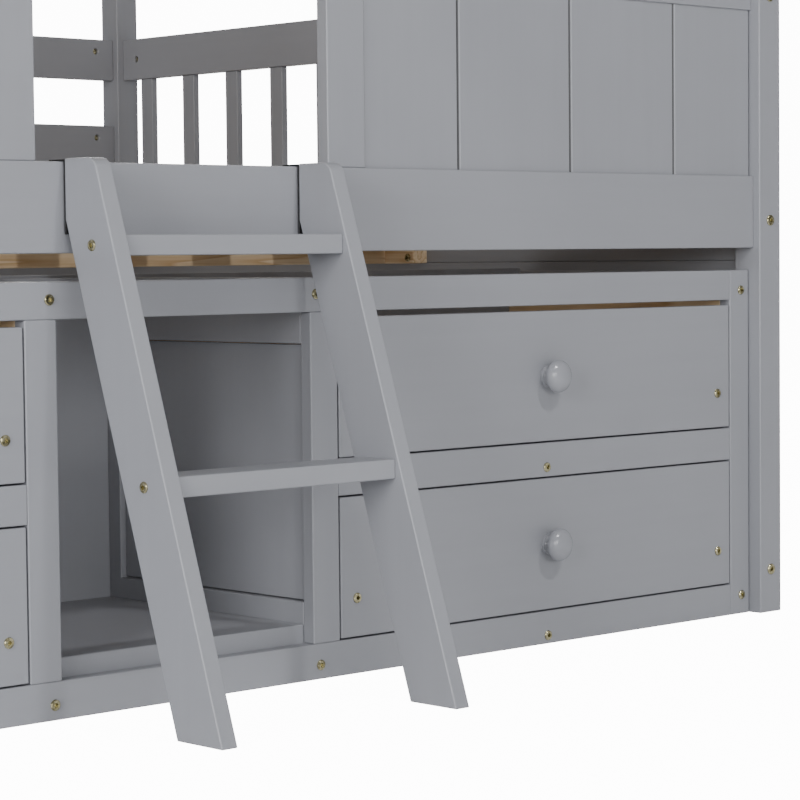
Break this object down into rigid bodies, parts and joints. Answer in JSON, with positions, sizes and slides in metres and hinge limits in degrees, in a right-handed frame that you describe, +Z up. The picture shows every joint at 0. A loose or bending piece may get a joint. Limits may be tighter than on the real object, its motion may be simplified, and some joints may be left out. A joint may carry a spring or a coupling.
{
  "type": "bunk bed",
  "caption": "Grey painted wooden bunk bed: a low lower berth over a chest of drawers with an open cubby, panelled guards, a short slanted ladder at its doorway, and an upper berth",
  "frame": {"origin": "on the floor, under the middle of the whole object's box", "axes": "+X along the bed to the right as seen from the front, +Y from front to back, +Z up"},
  "size_m": [2.036, 1.715, 1.85],
  "materials": {
    "grey_paint": "satin grey paint on solid pine, with faint grain and brush marks",
    "knob_paint": "smooth semi-gloss grey paint on turned wood",
    "bare_pine": "sanded unpainted pine",
    "yellow_zinc": "yellow zinc-plated steel fasteners",
    "zinc_steel": "bright zinc-plated folded steel",
    "dark_steel": "black coated steel strap"
  },
  "bodies": {
    "frame": {"post_front_left": "grey_paint", "post_front_right": "grey_paint", "post_back_left": "grey_paint", "post_back_right": "grey_paint", "lower_rail_front": "grey_paint", "lower_rail_back": "grey_paint", "upper_rail_front": "grey_paint", "upper_rail_back": "grey_paint", "end_rails": "grey_paint", "stretchers": "grey_paint", "slat_ledgers": "bare_pine", "centre_beams": "bare_pine", "beam_blocks": "bare_pine", "beam_leg": "bare_pine", "lower_slats": "bare_pine", "upper_slats": "bare_pine", "guard_stiles": "grey_paint", "guard_top_rails": "grey_paint", "guard_boards_left": "grey_paint", "guard_boards_right": "grey_paint", "fence_rails": "grey_paint", "lower_balusters": "grey_paint", "upper_balusters": "grey_paint", "back_guards": "grey_paint", "upper_guard_boards": "grey_paint", "end_ladder_stile": "grey_paint", "ladder_stringer_left": "grey_paint", "ladder_stringer_right": "grey_paint", "ladder_treads": "grey_paint", "ladder_hooks": "dark_steel", "end_ladder_rungs": "grey_paint", "chest_top_rail": "grey_paint", "chest_bottom_rail": "grey_paint", "chest_mid_rails": "grey_paint", "chest_stiles": "grey_paint", "chest_sides": "grey_paint", "cubby_walls": "grey_paint", "cubby_panels": "grey_paint", "cubby_floor": "grey_paint", "chest_back": "grey_paint", "drawer_guides": "bare_pine", "drawer_runners": "zinc_steel", "frame_bolts": "yellow_zinc", "barrel_nuts": "yellow_zinc"},
    "drawer_upper_left": {"front_upper_left": "grey_paint", "box_upper_left": "bare_pine", "knob_upper_left": "knob_paint", "screws_upper_left": "yellow_zinc"},
    "drawer_lower_left": {"front_lower_left": "grey_paint", "box_lower_left": "bare_pine", "knob_lower_left": "knob_paint", "screws_lower_left": "yellow_zinc"},
    "drawer_upper_right": {"front_upper_right": "grey_paint", "box_upper_right": "bare_pine", "knob_upper_right": "knob_paint", "screws_upper_right": "yellow_zinc"},
    "drawer_lower_right": {"front_lower_right": "grey_paint", "box_lower_right": "bare_pine", "knob_lower_right": "knob_paint", "screws_lower_right": "yellow_zinc"}
  },
  "joints": [
    {"name": "drawer_upper_left_slide", "type": "slide", "parent": "frame", "child": "drawer_upper_left", "axis": [0, -1, 0], "range_m": [0, 0.3]},
    {"name": "drawer_lower_left_slide", "type": "slide", "parent": "frame", "child": "drawer_lower_left", "axis": [0, -1, 0], "range_m": [0, 0.3]},
    {"name": "drawer_upper_right_slide", "type": "slide", "parent": "frame", "child": "drawer_upper_right", "axis": [0, -1, 0], "range_m": [0, 0.3]},
    {"name": "drawer_lower_right_slide", "type": "slide", "parent": "frame", "child": "drawer_lower_right", "axis": [0, -1, 0], "range_m": [0, 0.3]}
  ]
}
